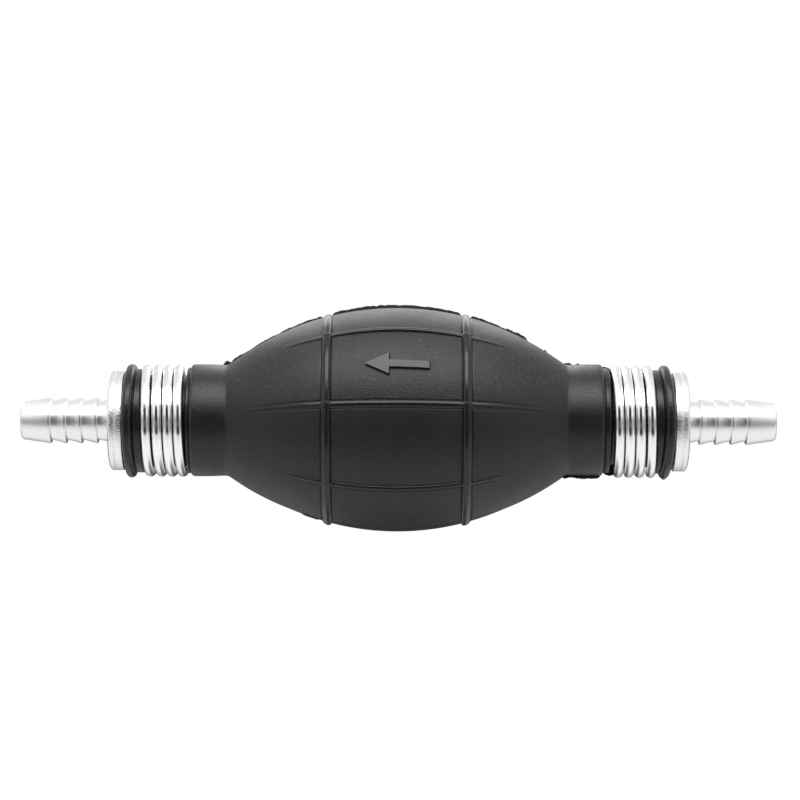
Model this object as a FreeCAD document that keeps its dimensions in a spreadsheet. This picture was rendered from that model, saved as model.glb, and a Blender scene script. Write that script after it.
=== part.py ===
import FreeCAD, Part
import Sketcher
import math
import os

# Siphon bulb pump: a moulded rubber bulb on two turned aluminium hose fittings, each neck
# bound with a wound wire clamp, and a spring-loaded check valve inside each fitting.
# It lies along X with its outlet barb at -X and its inlet barb at +X, so it pumps towards -X.
# The origin is the middle of the bulb on its axis, +Z is up, and sizes are in millimetres.

SIZES = (
    ("bulb_dia", 47.2, "bulb across its middle, between the ribs"),
    ("belly_arc_radius", 60.0, "arc of the belly along the axis"),
    ("belly_half_length", 35.8, "middle of the bulb to the start of the cuff"),
    ("belly_steps", 7, "straight steps that the belly's arc is moulded in"),
    ("chamber_steps", 3, "the same for the hollow inside"),
    ("bulb_wall", 4.0, "rubber in the belly"),
    ("cuff_dia", 23.8, "cuff at its outer end"),
    ("cuff_length", 7.85, "cuff along the axis"),
    ("cuff_chamfer", 0.5, "softened outer edge of the cuff"),
    ("cuff_step", 0.7, "down from the cuff to the narrow band beside the clamp"),
    ("inner_band_width", 0.95, "that band along the axis"),
    ("outer_band_width", 1.35, "narrow band between clamp and bead, along the axis"),
    ("bead_thickness", 1.95, "bead at the mouth of the neck, along the axis"),
    ("bead_dia", 24.0, "bead"),
    ("bead_step", 1.0, "down from the bead to the band beside it"),
    ("bead_chamfer", 0.7, "both edges of the bead"),
    ("ring_rib_place", 14.6, "each ring rib from the middle of the bulb"),
    ("ring_rib_width", 2.0, "ring rib where it leaves the belly"),
    ("ring_rib_height", 0.75, "ring rib above the belly"),
    ("ring_rib_flat", 1.0, "top of a ring rib"),
    ("rib_root", 1.0, "ribs reach this deep into the belly"),
    ("grip_rib_width", 1.7, "lengthwise rib at the middle of the bulb"),
    ("grip_rib_height", 0.45, "lengthwise rib at the middle of the bulb"),
    ("side_rib_reach", 31.0, "where a rib on the middle of a mould half fades out"),
    ("grip_rib_reach", 24.0, "where the other ribs fade out"),
    ("rib_count", 8, "lengthwise ribs round the bulb"),
    ("rib_roll", 7.5, "ribs turned about the axis as it lies, in degrees"),
    ("clamp_wire", 2.15, "clamp wire across, so that its turns all but touch"),
    ("clamp_dia", 23.8, "clamp across the outside of its wire"),
    ("clamp_pitch", 2.25, "from turn to turn"),
    ("clamp_turns", 4, "turns that cross the front"),
    ("clamp_last_extra", 0.15, "wider pitch of the outermost turn"),
    ("clamp_tail", 0.28, "wire past the front of the end turns, in turns"),
    ("wire_sides", 6, "sides that a wire's round section is drawn with"),
    ("clamp_flatness", 0.52, "0 is a steady helix, 1 lies square across the front"),
    ("rubber_fit", 0.05, "between rubber and the metal that it grips"),
    ("flange_gap", 0.15, "between bead and flange"),
    ("flange_dia", 21.0, "flange"),
    ("flange_thickness", 2.9, "flange along the axis"),
    ("flange_chamfer", 0.8, "outer rim of the flange"),
    ("spigot_dia", 16.0, "spigot inside the neck"),
    ("spigot_length", 17.6, "spigot from the flange"),
    ("port_bore", 6.0, "bore of the barb"),
    ("barb_crest_dia", 9.6, "hose barb over its crests"),
    ("barb_root_dia", 8.1, "hose barb behind its crests"),
    ("barb_neck_dia", 9.2, "last cone where it meets the flange"),
    ("barb_land", 0.5, "flat of a crest"),
    ("barb_pitch", 3.3, "from crest to crest"),
    ("barb_count", 4, "crests"),
    ("barb_neck_length", 2.75, "flange to the back of the first crest"),
    ("barb_lead", 6.35, "back of the last crest to the tip"),
    ("tip_dia", 8.0, "tip of the barb"),
    ("tip_chamfer", 0.4, "edge of the tip"),
    ("valve_bore", 12.8, "bore of the spigot that holds the valve"),
    ("valve_fit", 0.05, "between a valve piece and its bore, on the radius"),
    ("end_float", 0.05, "between the valve and its retaining ring"),
    ("ledge_width", 1.0, "ledge that the valve rests on"),
    ("throat_length", 2.4, "cone from the ledge down to the bore of the barb"),
    ("ring_lip", 0.9, "spigot outside the retaining ring's groove"),
    ("ring_groove_width", 1.0, "groove of the retaining ring"),
    ("ring_groove_depth", 0.5, "groove of the retaining ring"),
    ("ring_thickness", 0.9, "retaining ring"),
    ("ring_width", 1.25, "retaining ring across its band"),
    ("ring_gap", 1.6, "between the ring's two ears"),
    ("ear_dia", 2.2, "ear of the retaining ring"),
    ("ear_radius", 4.9, "height of the ears above the axis"),
    ("seat_thickness", 3.0, "valve seat"),
    ("seat_hole", 6.4, "hole of the valve seat"),
    ("seat_lip_height", 0.3, "raised lip that the seal closes on"),
    ("seat_lip_width", 0.5, "raised lip that the seal closes on"),
    ("packing_width", 1.4, "square sealing ring between seat and cage"),
    ("packing_depth", 1.2, "square sealing ring between seat and cage"),
    ("packing_fit", 0.02, "round the square sealing ring"),
    ("closed_gap", 0.02, "between seal and seat when the valve is shut"),
    ("seal_thickness", 0.6, "flat seal of the poppet"),
    ("seal_dia", 8.4, "flat seal of the poppet"),
    ("seal_fit", 0.02, "between the seal and the poppet's nose"),
    ("nose_dia", 4.8, "nose that centres the poppet in the seat"),
    ("nose_length", 1.2, "nose beyond the seal"),
    ("nose_chamfer", 0.6, "front of the nose"),
    ("disc_dia", 8.8, "head of the poppet"),
    ("disc_thickness", 1.2, "head of the poppet"),
    ("stem_dia", 2.0, "stem of the poppet"),
    ("stem_inset", 0.4, "stem short of the cage's outer face, valve shut"),
    ("stem_fit", 0.1, "between stem and guide, on the radius"),
    ("lift", 2.2, "travel of the poppet"),
    ("stop_gap", 0.05, "left between poppet and guide, valve open"),
    ("spring_room", 6.3, "poppet's head to the cage's end plate"),
    ("spring_wire", 0.4, "valve spring's wire"),
    ("spring_dia", 4.2, "valve spring, to the middle of its wire"),
    ("spring_turns", 3, "turns of the valve spring"),
    ("spring_fit", 0.1, "between the spring and what it pushes on"),
    ("cage_inner_dia", 11.0, "inside of the cage's skirt"),
    ("plate_thickness", 1.2, "end plate of the cage"),
    ("guide_dia", 3.4, "guide round the stem, inside the spring"),
    ("window_dia", 2.6, "hole that the liquid leaves the cage by"),
    ("window_ring_dia", 7.4, "circle that those holes lie on"),
    ("window_count", 4, "holes in the cage"),
)

# The spreadsheet of sizes
doc = FreeCAD.newDocument("SiphonBulbPump")
sheet = doc.addObject("Spreadsheet::Sheet", "Sizes")
for row, (alias, size, note) in enumerate(SIZES, 1):
    sheet.set(f"A{row}", str(size))
    sheet.setAlias(f"A{row}", alias)
    sheet.set(f"B{row}", note)
doc.recompute()


def value(text):
    """The number that an expression of the spreadsheet's sizes gives."""
    return float(sheet.evalExpression(text))


# Radii and places along the axis, as expressions, from the middle of the bulb outwards
BULB_R = "(Sizes.bulb_dia / 2)"
CUFF_IN = "Sizes.belly_half_length"
CUFF_OUT = f"({CUFF_IN} + Sizes.cuff_length)"
TAIL_SINE = "(sin(360 deg * Sizes.clamp_tail) / (2 * pi))"
TAIL_RUN = f"(Sizes.clamp_pitch * (Sizes.clamp_tail - Sizes.clamp_flatness * {TAIL_SINE}))"
WIRE_RUN = "((Sizes.clamp_turns - 1) * Sizes.clamp_pitch + Sizes.clamp_last_extra)"
SEAT_IN = f"({CUFF_OUT} + Sizes.inner_band_width)"
FIRST_TURN = f"({SEAT_IN} + Sizes.rubber_fit + Sizes.clamp_wire / 2 + {TAIL_RUN})"
LAST_TURN = f"({FIRST_TURN} + {WIRE_RUN})"
SEAT_OUT = f"({LAST_TURN} + {TAIL_RUN} + Sizes.clamp_wire / 2 + Sizes.rubber_fit)"
BEAD_IN = f"({SEAT_OUT} + Sizes.outer_band_width)"
BEAD_OUT = f"({BEAD_IN} + Sizes.bead_thickness)"
FLANGE_IN = f"({BEAD_OUT} + Sizes.flange_gap)"
FLANGE_OUT = f"({FLANGE_IN} + Sizes.flange_thickness)"
FIRST_BARB = f"({FLANGE_OUT} + Sizes.barb_neck_length)"
LAST_BARB = f"({FIRST_BARB} + (Sizes.barb_count - 1) * Sizes.barb_pitch)"
TIP = f"({LAST_BARB} + Sizes.barb_lead)"
MOUTH = f"({FLANGE_IN} - Sizes.spigot_length)"
RING_IN = f"({MOUTH} + Sizes.ring_lip)"
RING_OUT = f"({RING_IN} + Sizes.ring_groove_width)"
VALVE_IN = f"({RING_OUT} + Sizes.end_float)"
VALVE_R = "(Sizes.valve_bore / 2)"
CARTRIDGE_R = f"({VALVE_R} - Sizes.valve_fit)"

# Places along one valve, from the upstream face of its seat
SEAL_FRONT = "(Sizes.seat_thickness + Sizes.seat_lip_height + Sizes.closed_gap)"
DISC_FRONT = f"({SEAL_FRONT} + Sizes.seal_thickness)"
DISC_BACK = f"({DISC_FRONT} + Sizes.disc_thickness)"
PLATE_FRONT = f"({DISC_BACK} + Sizes.spring_room)"
VALVE_LENGTH = f"({PLATE_FRONT} + Sizes.plate_thickness)"
LEDGE = f"({VALVE_IN} + {VALVE_LENGTH})"

# An end piece is made for the inlet, and given half a turn about Y for the outlet
ALONG = FreeCAD.Vector(1, 0, 0)
ACROSS = FreeCAD.Vector(0, 1, 0)
INLET = FreeCAD.Placement()
OUTLET = FreeCAD.Placement(FreeCAD.Vector(), FreeCAD.Rotation(ACROSS, 180))


def new_body(label):
    body = doc.addObject("PartDesign::Body", label)
    body.Label = label
    return body


def sketch_on(body, role, name):
    """A sketch on one of the body's own origin planes."""
    sketch = body.newObject("Sketcher::SketchObject", name)
    plane = next(item for item in body.Origin.OriginFeatures if item.Role == role)
    sketch.AttachmentSupport = [(plane, "")]
    sketch.MapMode = "FlatFace"
    return sketch


def axis_of(body, role):
    return next(item for item in body.Origin.OriginFeatures if item.Role == role)


def bind(sketch, constraint, text):
    """Adds a constraint whose size follows an expression."""
    number = sketch.addConstraint(constraint)
    sketch.setExpression(f"Constraints[{number}]", text)


def pin(sketch, geometry, end, x, y):
    """Holds a point of the sketch at two expressions, or on an axis where one comes to 0."""
    for kind, text, axis in (("DistanceX", x, -2), ("DistanceY", y, -1)):
        if abs(value(text)) < 1e-9:
            sketch.addConstraint(Sketcher.Constraint("PointOnObject", geometry, end, axis))
        else:
            bind(sketch, Sketcher.Constraint(kind, -1, 1, geometry, end, value(text)), text)


def circle(sketch, x, y, radius):
    centre = FreeCAD.Vector(value(x), value(y), 0)
    line = Part.Circle(centre, FreeCAD.Vector(0, 0, 1), value(radius))
    geometry = sketch.addGeometry(line, False)
    pin(sketch, geometry, 3, x, y)
    bind(sketch, Sketcher.Constraint("Radius", geometry, value(radius)), radius)


def outline(sketch, corners, arcs=()):
    """A closed outline. arcs gives, by the corner that a level side starts at, its arc's radius."""
    spots = [FreeCAD.Vector(value(x), value(y), 0) for x, y in corners]
    sides = []
    for number, start in enumerate(spots):
        end = spots[(number + 1) % len(spots)]
        if number in arcs:
            radius = value(arcs[number])
            half = (end - start).Length / 2
            rise = radius - math.sqrt(max(radius**2 - half**2, 0.0))
            middle = (start + end) / 2 + FreeCAD.Vector(0, rise, 0)
            side = sketch.addGeometry(Part.Arc(start, middle, end), False)
            bind(sketch, Sketcher.Constraint("Radius", side, radius), arcs[number])
        else:
            side = sketch.addGeometry(Part.LineSegment(start, end), False)
        first = sketch.getPoint(side, 1).distanceToPoint(start)
        second = sketch.getPoint(side, 2).distanceToPoint(start)
        sides.append((side, 1, 2) if first < second else (side, 2, 1))
    for number, (side, start, _) in enumerate(sides):
        before, _, end = sides[number - 1]
        sketch.addConstraint(Sketcher.Constraint("Coincident", before, end, side, start))
        pin(sketch, side, start, *corners[number])


def turned(body, name, corners, kind="Revolution"):
    """Turns an outline of (place along the axis, radius) about the X axis, or grooves with it."""
    sketch = sketch_on(body, "XY_Plane", name + "_outline")
    outline(sketch, corners)
    feature = body.newObject("PartDesign::" + kind, name)
    feature.Profile = sketch
    feature.ReferenceAxis = (sketch, ["H_Axis"])
    feature.Angle = 360
    doc.recompute()
    return feature


def edges_at(feature, place, radius):
    """The round edges of a feature at a place along the axis, by their radius."""
    names = []
    for number, edge in enumerate(feature.Shape.Edges, 1):
        if isinstance(edge.Curve, Part.Circle):
            off = abs(edge.Curve.Center.x - value(place)) + abs(edge.Curve.Radius - value(radius))
            if off < 1e-4:
                names.append(f"Edge{number}")
    return names


def chamfer(body, name, base, edges, size):
    """A chamfer on edges of the feature before it."""
    feature = body.newObject("PartDesign::Chamfer", name)
    feature.Base = (base, edges)
    feature.setExpression("Size", size)
    doc.recompute()
    return feature


def make_bulb():
    """Rubber bulb: belly with ribs, and a neck with cuff, clamp seat and bead at each end."""
    body = new_body("bulb_shell")
    neck_r = "(Sizes.spigot_dia / 2 + Sizes.rubber_fit)"
    seat_r = "(Sizes.clamp_dia / 2 - Sizes.clamp_wire - Sizes.rubber_fit)"
    bead_r = "(Sizes.bead_dia / 2)"
    cuff_r = "(Sizes.cuff_dia / 2)"
    inner_band_r = f"({cuff_r} - Sizes.cuff_step)"
    outer_band_r = f"({bead_r} - Sizes.bead_step)"
    half = [
        (BEAD_OUT, neck_r),
        (BEAD_OUT, bead_r),
        (BEAD_IN, bead_r),
        (BEAD_IN, outer_band_r),
        (SEAT_OUT, outer_band_r),
        (SEAT_OUT, seat_r),
        (SEAT_IN, seat_r),
        (SEAT_IN, inner_band_r),
        (CUFF_OUT, inner_band_r),
        (CUFF_OUT, cuff_r),
        (CUFF_IN, cuff_r),
    ]
    other_half = [(f"(-{x})", radius) for x, radius in reversed(half)]
    belly = along_arc(CUFF_IN, "Sizes.belly_steps", "Sizes.belly_arc_radius", BULB_R)
    inner_arc = "(Sizes.belly_arc_radius - Sizes.bulb_wall)"
    inner_r = f"({BULB_R} - Sizes.bulb_wall)"
    chamber = f"(sqrt({inner_arc} ^ 2 - ({inner_arc} - {inner_r} + {neck_r}) ^ 2))"
    hollow = along_arc(chamber, "Sizes.chamber_steps", inner_arc, inner_r)
    hollow = [(chamber, neck_r)] + hollow + [(f"(-{chamber})", neck_r)]
    corners = half + belly + other_half + hollow[::-1]
    moulding = turned(body, "moulding", corners)
    rims = edges_at(moulding, BEAD_IN, bead_r) + edges_at(moulding, BEAD_OUT, bead_r)
    rims += edges_at(moulding, f"-{BEAD_IN}", bead_r) + edges_at(moulding, f"-{BEAD_OUT}", bead_r)
    beads = chamfer(body, "bead_edges", moulding, rims, "Sizes.bead_chamfer")
    rims = edges_at(beads, CUFF_OUT, cuff_r) + edges_at(beads, f"-{CUFF_OUT}", cuff_r)
    chamfer(body, "cuff_edges", beads, rims, "Sizes.cuff_chamfer")

    place = "Sizes.ring_rib_place"
    root = arc_radius(place, "Sizes.belly_arc_radius", BULB_R)
    floor = f"({root} - Sizes.rib_root)"
    crest = f"({root} + Sizes.ring_rib_height)"
    sides = (f"({place} - Sizes.ring_rib_width / 2)", f"({place} + Sizes.ring_rib_width / 2)")
    tops = (f"({place} - Sizes.ring_rib_flat / 2)", f"({place} + Sizes.ring_rib_flat / 2)")
    corners = [
        (sides[0], floor),
        (sides[0], root),
        (tops[0], crest),
        (tops[1], crest),
        (sides[1], root),
        (sides[1], floor),
    ]
    rib = turned(body, "ring_rib", corners)
    pair = body.newObject("PartDesign::Mirrored", "ring_ribs")
    pair.Originals = [rib]
    pair.MirrorPlane = (axis_of(body, "YZ_Plane"), [""])
    body.Tip = pair
    doc.recompute()

    side = lengthwise_rib(body, "side_rib", "Sizes.side_rib_reach", "0")
    pair = body.newObject("PartDesign::PolarPattern", "side_ribs")
    pair.Originals = [side]
    pair.Axis = (axis_of(body, "X_Axis"), [""])
    pair.Occurrences = 2
    body.Tip = pair
    doc.recompute()
    grip = lengthwise_rib(body, "grip_rib", "Sizes.grip_rib_reach", "360 / Sizes.rib_count")
    spread = body.newObject("PartDesign::MultiTransform", "grip_ribs")
    fan = body.newObject("PartDesign::PolarPattern", "fan")
    fan.Axis = (axis_of(body, "X_Axis"), [""])
    fan.setExpression("Occurrences", "Sizes.rib_count / 2 - 1")
    fan.setExpression("Angle", "180 - 720 / Sizes.rib_count")
    mirror = body.newObject("PartDesign::Mirrored", "other_half")
    mirror.MirrorPlane = (axis_of(body, "XY_Plane"), [""])
    spread.Originals = [grip]
    spread.Transformations = [fan, mirror]
    body.Tip = spread
    body.Placement.Rotation = FreeCAD.Rotation(ALONG, 1)
    body.setExpression("Placement.Rotation.Angle", "-Sizes.rib_roll")
    doc.recompute()
    return body


def arc_radius(place, arc, crown):
    """Radius, at a place along the axis, of an outline whose arc stands crown high at x = 0."""
    return f"({crown} - {arc} + sqrt({arc} ^ 2 - {place} ^ 2))"


def along_arc(reach, steps, arc, crown):
    """Corners where straight steps meet along that arc, each step half inside and half outside."""
    overshoot = f"(({arc} - sqrt({arc} ^ 2 - ({reach} / {steps}) ^ 2)) / 2)"
    corners = []
    for number in range(1, round(value(steps))):
        place = f"({reach} * (1 - 2 * {number} / {steps}))"
        corners.append((place, f"({arc_radius(place, arc, crown)} + {overshoot})"))
    return corners


def lengthwise_rib(body, name, reach, turn):
    """A rib whose crest is an arc that meets the belly's arc where the rib fades out."""
    belly_arc = "Sizes.belly_arc_radius"
    crest = f"({BULB_R} + Sizes.grip_rib_height)"
    end_r = arc_radius(reach, belly_arc, BULB_R)
    drop = f"({crest} - {end_r})"
    crest_arc = f"(({reach} ^ 2 + {drop} ^ 2) / (2 * {drop}))"
    floor = f"({end_r} - Sizes.rib_root)"
    back = f"(-{reach})"
    sketch = sketch_on(body, "XY_Plane", name + "_outline")
    sketch.AttachmentOffset = FreeCAD.Placement(FreeCAD.Vector(), FreeCAD.Rotation(ALONG, 1))
    sketch.setExpression("AttachmentOffset.Rotation.Angle", turn)
    corners = [(back, floor), (back, end_r), (reach, end_r), (reach, floor)]
    outline(sketch, corners, {1: crest_arc, 3: belly_arc})
    rib = body.newObject("PartDesign::Pad", name)
    rib.Profile = sketch
    rib.setExpression("Length", "Sizes.grip_rib_width")
    rib.Midplane = True
    doc.recompute()
    return rib


def make_fitting(label, placement):
    """Turned fitting: hose barb, flange and a hollow spigot that holds the valve."""
    body = new_body(label)
    flange_r = "(Sizes.flange_dia / 2)"
    spigot_r = "(Sizes.spigot_dia / 2)"
    tip_r = "(Sizes.tip_dia / 2)"
    corners = [
        (MOUTH, VALVE_R),
        (MOUTH, spigot_r),
        (FLANGE_IN, spigot_r),
        (FLANGE_IN, flange_r),
        (FLANGE_OUT, flange_r),
        (FLANGE_OUT, "(Sizes.barb_neck_dia / 2)"),
    ]
    for number in range(round(value("Sizes.barb_count"))):
        back = f"({FIRST_BARB} + {number} * Sizes.barb_pitch)"
        corners.append((back, "(Sizes.barb_root_dia / 2)"))
        corners.append((back, "(Sizes.barb_crest_dia / 2)"))
        corners.append((f"({back} + Sizes.barb_land)", "(Sizes.barb_crest_dia / 2)"))
    corners.append((TIP, tip_r))
    corners.append((TIP, "(Sizes.port_bore / 2)"))
    corners.append((f"({LEDGE} + Sizes.throat_length)", "(Sizes.port_bore / 2)"))
    corners.append((LEDGE, f"({VALVE_R} - Sizes.ledge_width)"))
    corners.append((LEDGE, VALVE_R))
    turned(body, "blank", corners)

    groove_r = f"({VALVE_R} + Sizes.ring_groove_depth)"
    inside = f"({VALVE_R} - 0.5)"
    ring = [(RING_IN, inside), (RING_IN, groove_r), (RING_OUT, groove_r), (RING_OUT, inside)]
    groove = turned(body, "ring_groove", ring, kind="Groove")
    rim = edges_at(groove, FLANGE_OUT, flange_r)
    flange = chamfer(body, "flange_rim", groove, rim, "Sizes.flange_chamfer")
    rim = edges_at(flange, TIP, tip_r)
    chamfer(body, "tip_edge", flange, rim, "Sizes.tip_chamfer")
    body.Placement = placement
    return body


def biarc(start, heading, end, exit_heading):
    """Two arcs, tangent to each other, from a point and heading to another point and heading."""
    chord = end - start
    both = heading + exit_heading
    square = 2 * (1 - heading.dot(exit_heading))
    reach = chord.dot(both)
    arm = (-reach + math.sqrt(reach**2 + square * chord.dot(chord))) / square
    first = start + heading * arm
    second = end - exit_heading * arm
    join = (first + second) / 2
    return [arc_between(start, first, join), arc_between(join, second, end)]


def arc_between(start, apex, end):
    """The arc that touches start-apex at start and apex-end at end."""
    middle = (start + end) / 2
    out = apex - middle
    half = (end - start).Length / 2
    quarter_turn = math.atan2(out.Length, half) / 2
    crown = middle + out.normalize() * (half * math.tan(quarter_turn))
    return Part.Arc(start, crown, end).toShape()


def wind(label, route, turns_from, turns_to, wire):
    """One unbroken wire along a route, from biarcs of up to half a turn."""
    count = math.ceil((turns_to - turns_from) * 2)
    stops = [turns_from + (turns_to - turns_from) * i / count for i in range(count + 1)]
    path = [route(stop) for stop in stops]
    edges = []
    for (start, heading), (end, exit_heading) in zip(path, path[1:]):
        edges += biarc(start, heading, end, exit_heading)
    spine = Part.Wire(edges)
    start, heading = path[0]
    across = heading.cross(ALONG).normalize()
    upright = heading.cross(across)
    sides = round(value("Sizes.wire_sides"))
    corners = []
    for side in range(sides + 1):
        angle = 2 * math.pi * (side % sides + 0.5) / sides
        offset = across * math.cos(angle) + upright * math.sin(angle)
        corners.append(start + offset * (wire / 2))
    shell = Part.BRepOffsetAPI.MakePipeShell(spine)
    shell.add(Part.makePolygon(corners))
    shell.build()
    shell.makeSolid()
    piece = doc.addObject("Part::Feature", label)
    piece.Label = label
    piece.Shape = shell.shape()
    section = sides / 2 * (wire / 2) ** 2 * math.sin(2 * math.pi / sides)
    expected = section * spine.Length
    steps = [turns_from + i / 60 for i in range(int((turns_to - turns_from) * 60) + 1)]
    points = [route(step)[0] for step in steps]
    pairs = ((a, b) for i, a in enumerate(points) for b in points[i + 30 :])
    gap = min(a.distanceToPoint(b) for a, b in pairs) - wire
    print(f"{label}: wire {spine.Length:.1f} long, volume {piece.Shape.Volume:.2f}, "
          f"section times length {expected:.2f}, least gap to itself {gap:.3f}")
    return piece


def make_clamp(label, placement):
    """Wire clamp: four turns, laid nearly square across the front and stepped over at the back."""
    pitch = value("Sizes.clamp_pitch")
    flatness = value("Sizes.clamp_flatness")
    extra = value("Sizes.clamp_last_extra")
    last = value("Sizes.clamp_turns") - 1
    tail = value("Sizes.clamp_tail")
    wire = value("Sizes.clamp_wire")
    radius = value("Sizes.clamp_dia / 2") - wire / 2
    first = value(FIRST_TURN)

    def route(turns):
        angle = 2 * math.pi * turns
        step = min(max((turns - last + 0.75) * 2, 0.0), 1.0)
        x = first + pitch * (turns - flatness * math.sin(angle) / (2 * math.pi))
        x += extra * step * step * (3 - 2 * step)
        climb = pitch * (1 - flatness * math.cos(angle)) + extra * 12 * step * (1 - step)
        ahead = FreeCAD.Vector(
            climb, 2 * math.pi * radius * math.sin(angle), -2 * math.pi * radius * math.cos(angle)
        )
        place = FreeCAD.Vector(x, -radius * math.cos(angle), -radius * math.sin(angle))
        return place, ahead.normalize()

    clamp = wind(label, route, -tail, last + tail, wire)
    clamp.Placement = placement
    return clamp


def make_retaining_ring(label, placement, place):
    """Flat spring ring with two ears, sprung into the groove of the bore."""
    body = new_body(label)
    outer = f"({VALVE_R} + Sizes.ring_groove_depth - Sizes.valve_fit)"
    ear_side = "(Sizes.ring_gap / 2 + 0.4 * Sizes.ear_dia)"
    band = sketch_on(body, "YZ_Plane", "band_outline")
    circle(band, "0", "0", outer)
    circle(band, "0", "0", f"({outer} - Sizes.ring_width)")
    flat_piece(body, "Pad", "band", band)
    ears = sketch_on(body, "YZ_Plane", "ears_outline")
    circle(ears, ear_side, "Sizes.ear_radius", "(Sizes.ear_dia / 2)")
    circle(ears, f"(-{ear_side})", "Sizes.ear_radius", "(Sizes.ear_dia / 2)")
    flat_piece(body, "Pad", "ears", ears)
    gap = sketch_on(body, "YZ_Plane", "gap_outline")
    edge = "(Sizes.ring_gap / 2)"
    low = "(Sizes.ear_radius - Sizes.ear_dia)"
    high = f"({outer} + 1)"
    outline(gap, [(f"(-{edge})", low), (edge, low), (edge, high), (f"(-{edge})", high)])
    flat_piece(body, "Pocket", "gap", gap)
    body.Placement = placement
    body.setExpression("Placement.Base.x", place)
    return body


def flat_piece(body, kind, name, sketch):
    """Adds or cuts a sketch through the thickness of the retaining ring."""
    feature = body.newObject("PartDesign::" + kind, name)
    feature.Profile = sketch
    feature.setExpression("Length", "Sizes.ring_thickness")
    feature.Reversed = kind == "Pocket"
    doc.recompute()


def place_valve_piece(piece, start):
    """Valve pieces are drawn along the flow, which is -X, from the upstream face of the seat."""
    piece.Placement = OUTLET
    piece.setExpression("Placement.Base.x", start)


def make_valve(side, start):
    """Check valve: seat with its packing, poppet with its seal, spring and cage."""
    hole_r = "(Sizes.seat_hole / 2)"
    lip_top = "(Sizes.seat_thickness + Sizes.seat_lip_height)"
    lip_r = f"({hole_r} + Sizes.seat_lip_width)"
    seat = new_body(side + "_valve_seat")
    rebate = "(Sizes.seat_thickness - Sizes.packing_width - 2 * Sizes.packing_fit)"
    rebate_r = f"({VALVE_R} - Sizes.packing_depth - 2 * Sizes.packing_fit)"
    corners = [
        ("0", hole_r),
        ("0", CARTRIDGE_R),
        (rebate, CARTRIDGE_R),
        (rebate, rebate_r),
        ("Sizes.seat_thickness", rebate_r),
        ("Sizes.seat_thickness", lip_r),
        (lip_top, lip_r),
        (lip_top, hole_r),
    ]
    turned(seat, "disc", corners)

    packing = new_body(side + "_seat_packing")
    front = f"({rebate} + Sizes.packing_fit)"
    back = "(Sizes.seat_thickness - Sizes.packing_fit)"
    bottom = f"({rebate_r} + Sizes.packing_fit)"
    top = f"({VALVE_R} - Sizes.packing_fit)"
    turned(packing, "ring", [(front, bottom), (front, top), (back, top), (back, bottom)])

    nose_r = "(Sizes.nose_dia / 2)"
    nose = f"({SEAL_FRONT} - Sizes.nose_length)"
    stem_r = "(Sizes.stem_dia / 2)"
    stem_end = f"({VALVE_LENGTH} - Sizes.stem_inset)"
    poppet = new_body(side + "_poppet")
    corners = [
        (nose, "0"),
        (nose, f"({nose_r} - Sizes.nose_chamfer)"),
        (f"({nose} + Sizes.nose_chamfer)", nose_r),
        (DISC_FRONT, nose_r),
        (DISC_FRONT, "(Sizes.disc_dia / 2)"),
        (DISC_BACK, "(Sizes.disc_dia / 2)"),
        (DISC_BACK, stem_r),
        (stem_end, stem_r),
        (stem_end, "0"),
    ]
    turned(poppet, "turning", corners)

    seal = new_body(side + "_poppet_seal")
    inner = f"({nose_r} + Sizes.seal_fit)"
    outer = "(Sizes.seal_dia / 2)"
    corners = [(SEAL_FRONT, inner), (SEAL_FRONT, outer), (DISC_FRONT, outer), (DISC_FRONT, inner)]
    turned(seal, "washer", corners)

    cage = new_body(side + "_valve_cage")
    guide_front = f"({DISC_BACK} + Sizes.lift + Sizes.stop_gap)"
    guide_hole = f"({stem_r} + Sizes.stem_fit)"
    skirt_r = "(Sizes.cage_inner_dia / 2)"
    corners = [
        ("Sizes.seat_thickness", skirt_r),
        ("Sizes.seat_thickness", CARTRIDGE_R),
        (VALVE_LENGTH, CARTRIDGE_R),
        (VALVE_LENGTH, guide_hole),
        (guide_front, guide_hole),
        (guide_front, "(Sizes.guide_dia / 2)"),
        (PLATE_FRONT, "(Sizes.guide_dia / 2)"),
        (PLATE_FRONT, skirt_r),
    ]
    turned(cage, "cup", corners)
    sketch = sketch_on(cage, "YZ_Plane", "window_outline")
    sketch.setExpression("AttachmentOffset.Base.z", VALVE_LENGTH)
    circle(sketch, "0", "(Sizes.window_ring_dia / 2)", "(Sizes.window_dia / 2)")
    window = cage.newObject("PartDesign::Pocket", "window")
    window.Profile = sketch
    window.setExpression("Length", "Sizes.plate_thickness * 1.5")
    doc.recompute()
    windows = cage.newObject("PartDesign::PolarPattern", "windows")
    windows.Originals = [window]
    windows.Axis = (axis_of(cage, "X_Axis"), [""])
    windows.setExpression("Occurrences", "Sizes.window_count")
    cage.Tip = windows

    pieces = [seat, packing, poppet, seal, cage, make_valve_spring(side + "_valve_spring")]
    for piece in pieces:
        place_valve_piece(piece, start)
    doc.recompute()
    return pieces


def make_valve_spring(label):
    """Light spring between the poppet's head and the cage's end plate."""
    wire = value("Sizes.spring_wire")
    turns = value("Sizes.spring_turns")
    radius = value("Sizes.spring_dia / 2")
    inset = value("Sizes.spring_fit") + wire / 2
    start = value(DISC_BACK) + inset
    pitch = (value(PLATE_FRONT) - inset - start) / turns

    def route(turned_by):
        angle = 2 * math.pi * turned_by
        place = FreeCAD.Vector(
            start + pitch * turned_by, radius * math.cos(angle), radius * math.sin(angle)
        )
        round_speed = 2 * math.pi * radius
        ahead = FreeCAD.Vector(
            pitch, -round_speed * math.sin(angle), round_speed * math.cos(angle)
        )
        return place, ahead.normalize()

    return wind(label, route, 0, turns, wire)


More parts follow.
